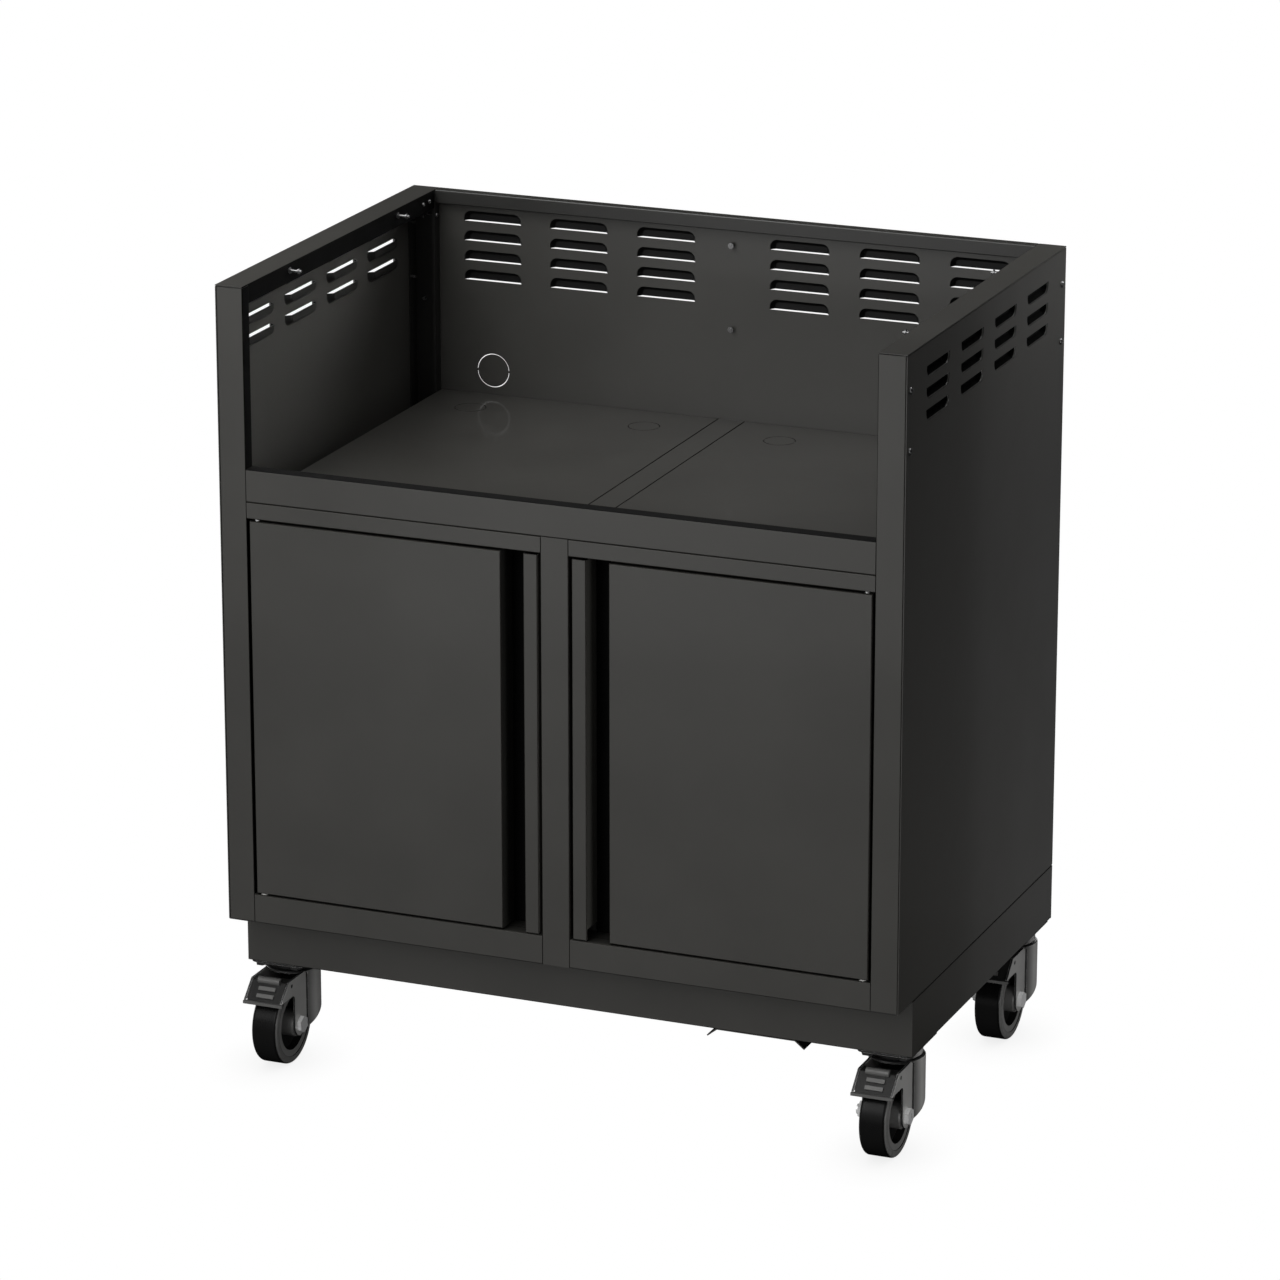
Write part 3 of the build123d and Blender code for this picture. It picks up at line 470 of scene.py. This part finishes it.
def powder_coat(
    name, shade_scale=1.0, zones=(), coat=0.15, coat_roughness=0.1, painted_hollow_shade=0.7, shaded_bends=True
):
    """The cabinet's satin coat, with its colour scaled down as painted shade for pieces that stay
    in the shade, and painted shade along its bends unless that is turned off."""
    if shaded_bends:
        # Painted shade along the sheet's bends
        zones = ((bends, grey(COAT_BEND_SHADE * shade_scale, COAT_WARMTH), BEND_DULLING), *zones)
    return finish_material(
        name,
        # The coat's colours, scaled down as painted shade by the shade scale
        colour=grey(COAT_GREY * shade_scale, COAT_WARMTH),
        tint=grey(COAT_TINT * shade_scale, COAT_WARMTH),
        # Painted shade along the coat's edges, darker than the coat
        edge_wear_or_shade=grey(COAT_EDGE_SHADE * shade_scale, EDGE_SHADE_WARMTH),
        roughness=0.4, spread=0.03, grain_size=0.0011, grain_height=0.000012, edge_radius=0.0007,
        coat=coat, coat_roughness=coat_roughness, zones=zones,
        # Painted shade in the hollows, and dulled edges
        painted_hollow_reach=0.07, painted_hollow_shade=painted_hollow_shade, edge_dulling=0.3,
    )


# Variants of the powder coat, with what powder_coat takes; most hold painted shade or painted
# light in zones and scales
COATS = {
    "powder_coat": {},
    # Painted shade on the side hoods and in the louvres' hollows
    "powder_coat_side": dict(
        zones=((side_hood_shade, grey(0.008, COAT_WARMTH), 0.0), (side_louvre_shade, grey(0.004), 0.5)),
        painted_hollow_shade=0.5, shaded_bends=False,
    ),
    # Painted shade inside the rear hoods
    "powder_coat_rear": dict(
        zones=((rear_louvre_shade, grey(0.03), 0.2),), painted_hollow_shade=0.4, shaded_bends=False
    ),
    # Painted shade on the flanges that the caps and front posts turn towards the bay
    "powder_coat_cap": dict(zones=((inner_return_shade, grey(0.004), 0.3),)),
    # Painted shade on the apron's upper flange
    "powder_coat_apron": dict(zones=((upper_flange_shade_and_highlight, grey(0.02), 0.3),)),
    # Painted light on the groove's right-looking walls, painted shade on its bottom
    "powder_coat_groove": dict(
        zones=((groove_wall_light, grey(0.085, COAT_WARMTH), 0.0), (groove_bottom_shade, grey(0.008), 0.3)),
        painted_hollow_shade=0.2,
    ),
    "powder_coat_floor": dict(coat=0.12, coat_roughness=0.06, painted_hollow_shade=0.3),
    # A copy of the coat darkened as painted shade, for the rear posts
    "powder_coat_deep_shade": dict(shade_scale=0.3),
    # A copy of the coat darkened as painted shade, for the rear rail, with a painted highlight on
    # its upper flange
    "powder_coat_dim_shade": dict(
        shade_scale=0.35, zones=((upper_flange_shade_and_highlight, grey(0.02, COAT_WARMTH), 0.0),), shaded_bends=False
    ),
}

# The other finishes, with what finish_material takes
FINISHES = {
    "caster_steel": dict(
        colour=grey(0.44, 0.02), tint=grey(0.5, 0.02), edge_wear_or_shade=grey(0.5, 0.01),
        roughness=0.38, spread=0.05, grain_size=0.0007, grain_height=0.000015, edge_radius=0.0007,
        metallic=0.2, cloud_size=0.03,
        # Painted shade on the fork legs' front edges, the crowns' front and top, and the mounting
        # plates
        zones=(
            (fork_front_shade, grey(0.03), 0.0),
            (crown_shade, grey(0.02), 0.0),
            (mounting_plate_shade, grey(0.02), 0.0),
        ),
    ),
    "pedal_steel": dict(
        colour=grey(0.012, 0.02), tint=grey(0.016, 0.02), edge_wear_or_shade=grey(0.05, 0.01),
        roughness=0.42, spread=0.05, grain_size=0.0007, grain_height=0.000015, edge_radius=0.0005,
        metallic=0.2, specular=0.25, cloud_size=0.03,
        zones=((pedal_raised, grey(0.13, 0.02), 0.0),),
    ),
    "zinc_plate": dict(
        colour=grey(0.2, -0.01), tint=grey(0.25), edge_wear_or_shade=grey(0.35),
        roughness=0.27, spread=0.04, grain_size=0.0006, grain_height=0.000002, edge_radius=0.0004,
        metallic=0.9, cloud_size=0.01,
    ),
    "bright_zinc": dict(
        colour=grey(0.9, -0.01), tint=grey(0.95), edge_wear_or_shade=grey(0.97),
        roughness=0.3, spread=0.04, grain_size=0.0006, grain_height=0.000002, edge_radius=0.0004,
        metallic=0.35, cloud_size=0.01,
    ),
    "tyre": dict(
        colour=grey(0.003), tint=grey(0.004, 0.02), edge_wear_or_shade=grey(0.012, 0.02),
        roughness=0.28, spread=0.05, grain_size=0.0008, grain_height=0.00003, edge_radius=0.0006,
        specular=0.12, cloud_size=0.03, zones=((tyre_side, grey(0.16, 0.02), 0.0),),
    ),
    "black_plastic": dict(
        colour=grey(0.008), tint=grey(0.011), edge_wear_or_shade=grey(0.025),
        roughness=0.36, spread=0.05, grain_size=0.0006, grain_height=0.00001, edge_radius=0.0006,
        specular=0.35, cloud_size=0.02,
        zones=((hub_rim, grey(0.2, 0.02), 0.0), (hub_boss, grey(0.12, 0.02), 0.0)),
    ),
    # Dark steel; on the caster fasteners it is painted shade under the plinth
    "blackened_steel": dict(
        colour=grey(0.02), tint=grey(0.026), edge_wear_or_shade=grey(0.06),
        roughness=0.4, spread=0.05, grain_size=0.0006, grain_height=0.00001, edge_radius=0.0004,
        metallic=0.3, cloud_size=0.02,
    ),
    "nylon": dict(
        colour=grey(0.5, 0.03), tint=grey(0.56, 0.04), edge_wear_or_shade=grey(0.6, 0.03),
        roughness=0.45, spread=0.05, grain_size=0.0005, grain_height=0.00001, edge_radius=0.0004,
        cloud_size=0.01,
    ),
}

# Nodes whose finish differs from that of their slot
OTHER_FINISH = {
    # The caster fasteners are made dark as painted shade under the plinth
    "caster_fasteners": "blackened_steel",
    "rear_panel": "powder_coat_rear",
    "rear_top_rail": "powder_coat_dim_shade",
    "front_apron": "powder_coat_apron",
}
for side in ("left", "right"):
    OTHER_FINISH[f"{side}_side_panel"] = "powder_coat_side"
    OTHER_FINISH[f"{side}_top_cap"] = "powder_coat_cap"
    OTHER_FINISH[f"{side}_front_post"] = "powder_coat_cap"
    OTHER_FINISH[f"{side}_rear_post"] = "powder_coat_deep_shade"
    OTHER_FINISH[f"{side}_handle_channel"] = "powder_coat_groove"
    OTHER_FINISH[f"{side}_grill_shelf"] = "powder_coat_floor"
    OTHER_FINISH[f"{side}_hinge_pins"] = "bright_zinc"
for corner in CORNERS:
    OTHER_FINISH[f"{corner}_axle_bolt"] = "bright_zinc"


def make_finishes():
    """One material for each slot of the record, and the variants that some nodes wear."""
    made = {name: powder_coat(name, **settings) for name, settings in COATS.items()}
    for name, settings in FINISHES.items():
        made[name] = finish_material(name, **settings)
    return made


def dress_cad(finishes):
    """Give every CAD node its own finish, or else that of its slot."""
    for name, piece in nodes.items():
        piece.data.materials.clear()
        piece.data.materials.append(finishes[OTHER_FINISH.get(name, slot_of[name])])


# Floor, light and surroundings
STAGE_SIZE = 60.0
DOME_SUBDIVISIONS = 4
# The floor's painted contact shadow: how far it reaches, how dark it gets, and its samples
CONTACT_REACH = 0.07
CONTACT_SHADE = 0.82
CONTACT_SAMPLES = 8
UNSHADED = 1.0
SOFTBOXES = {
    # name: place, aim, width, height, watts, spread in degrees
    # From the front and from above
    "key": ((-0.6, -2.4, 1.75), (0.0, 0.0, 0.6), 0.9, 1.8, 18.5, 180.0),
    "key_left": ((-1.5, -2.4, 1.3), (0.0, 0.0, 0.6), 0.9, 0.9, 4.6, 180.0),
    "front_low": ((-0.6, -2.2, 0.4), (0.0, 0.0, 0.6), 0.9, 0.9, 2.1, 180.0),
    "overhead_front": ((-0.6, -1.3, 2.2), (0.0, 0.0, 0.6), 0.9, 0.9, 5.0, 180.0),
    "overhead_left": ((-0.6, -0.4, 1.9), (0.0, 0.0, 0.6), 0.7, 0.7, 8.5, 180.0),
    "overhead_right": ((0.6, 0.25, 1.9), (0.0, 0.1, 0.6), 0.7, 0.9, 5.0, 180.0),
    "front_right": ((1.3, -2.4, 1.3), (0.0, 0.0, 0.6), 0.9, 0.9, 1.8, 180.0),
    "right_low": ((2.4, -1.3, 0.1), (0.3, 0.0, 0.05), 0.8, 0.3, 2.0, 60.0),
    # Seen through the rear knockout in the bay floor's reflection
    "knockout_glow": (
        (-0.7045, 1.1555, 1.0036), (-0.3144, 0.2729, 0.7409), 0.08, 0.08, 0.035, 180.0
    ),
    # Grazing the right side
    "right_near": ((0.56, 0.62, 0.35), (0.42, 0.2, 0.45), 0.15, 1.0, 0.085, 180.0),
    "right_far": ((0.85, 1.25, 0.35), (0.42, 0.2, 0.45), 0.3, 1.2, 0.05, 180.0),
    # On the inside of the left wall
    "bay_back": ((0.9, 0.9, 1.35), (-0.385, -0.1, 0.86), 0.3, 0.3, 0.55, 40.0),
    "bay_right": ((1.1, 0.6, 1.35), (-0.385, -0.08, 0.88), 0.3, 0.3, 0.42, 40.0),
    # On the sides that the photograph doesn't show
    "left_fill": ((-2.4, 0.4, 0.4), (-0.4, 0.0, 0.5), 1.0, 0.8, 12.0, 180.0),
    "rear_fill": ((-0.6, 2.6, 0.5), (0.0, 0.3, 0.5), 1.6, 0.8, 18.0, 180.0),
}
SKY_LOBES = (
    # azimuth and elevation in degrees, sharpness, strength
    (-45.0, -25.0, 8.0, 0.36),
    (-10.0, 55.0, 5.0, 0.5),
    (204.0, 17.0, 30.0, 0.04),
)


def stage_white(name, shade):
    """Even white for the stage, with a painted contact shadow a little darker where something
    stands close over it.
    """
    material = bpy.data.materials.new(name)
    material.use_nodes = True
    tree = material.node_tree
    tree.nodes.clear()
    output = put(tree, "ShaderNodeOutputMaterial")
    glow = put(tree, "ShaderNodeEmission", Color=grey(1.0))
    if shade < UNSHADED:
        near = put(
            tree, "ShaderNodeAmbientOcclusion", {"samples": CONTACT_SAMPLES},
            Distance=CONTACT_REACH,
        )
        strength = remap(tree, near.outputs["AO"], 0.0, 1.0, shade, UNSHADED)
        feed(tree, glow.inputs["Strength"], strength)
    feed(tree, output.inputs["Surface"], glow.outputs["Emission"])
    return material


def add_stage(name, mesh, material):
    """A stage object that the camera sees and that throws no light on the cabinet."""
    mesh.materials.append(material)
    piece = bpy.data.objects.new(name, mesh)
    bpy.context.scene.collection.objects.link(piece)
    piece.visible_diffuse = False
    piece.visible_glossy = False
    piece.visible_shadow = False


def make_stage():
    """A white floor with a painted soft shadow under the casters, and a white dome around it."""
    half = STAGE_SIZE / 2
    corners = [(-half, -half, 0), (half, -half, 0), (half, half, 0), (-half, half, 0)]
    floor = bpy.data.meshes.new("floor")
    floor.from_pydata(corners, [], [(0, 1, 2, 3)])
    add_stage("floor", floor, stage_white("floor", CONTACT_SHADE))
    shell = bmesh.new()
    bmesh.ops.create_icosphere(shell, subdivisions=DOME_SUBDIVISIONS, radius=half)
    dome = bpy.data.meshes.new("dome")
    shell.to_mesh(dome)
    shell.free()
    add_stage("dome", dome, stage_white("dome", UNSHADED))


def make_lights():
    for name, (place, aim, width, height, watts, spread) in SOFTBOXES.items():
        data = bpy.data.lights.new(name, "AREA")
        data.shape = "RECTANGLE"
        data.size = width
        data.size_y = height
        data.energy = watts
        data.spread = math.radians(spread)
        light = bpy.data.objects.new(name, data)
        light.location = place
        light.rotation_euler = (Vector(aim) - light.location).to_track_quat("-Z", "Y").to_euler()
        bpy.context.scene.collection.objects.link(light)


def make_surroundings():
    """Soft world light in a few broad lobes, each strongest in its own direction, and colours
    shown without a film look."""
    world = bpy.data.worlds.new("studio")
    world.use_nodes = True
    tree = world.node_tree
    towards = put(tree, "ShaderNodeTexCoord").outputs["Generated"]
    strength = 0.0
    for azimuth, elevation, sharpness, peak in SKY_LOBES:
        centre = direction(math.radians(azimuth), math.radians(elevation))
        nearness = remap(tree, agreement(tree, towards, centre), -1.0, 1.0, 0.0, 1.0)
        lobe = times(tree, calculate(tree, "POWER", nearness, sharpness), peak)
        strength = plus(tree, lobe, strength)
    background = tree.nodes["Background"]
    feed(tree, background.inputs["Strength"], strength)
    feed(tree, background.inputs["Color"], grey(1.0, 0.01))
    bpy.context.scene.world = world
    bpy.context.scene.view_settings.view_transform = "Standard"


make_camera()
make_stage()
make_lights()
make_surroundings()
dress_cad(make_finishes())
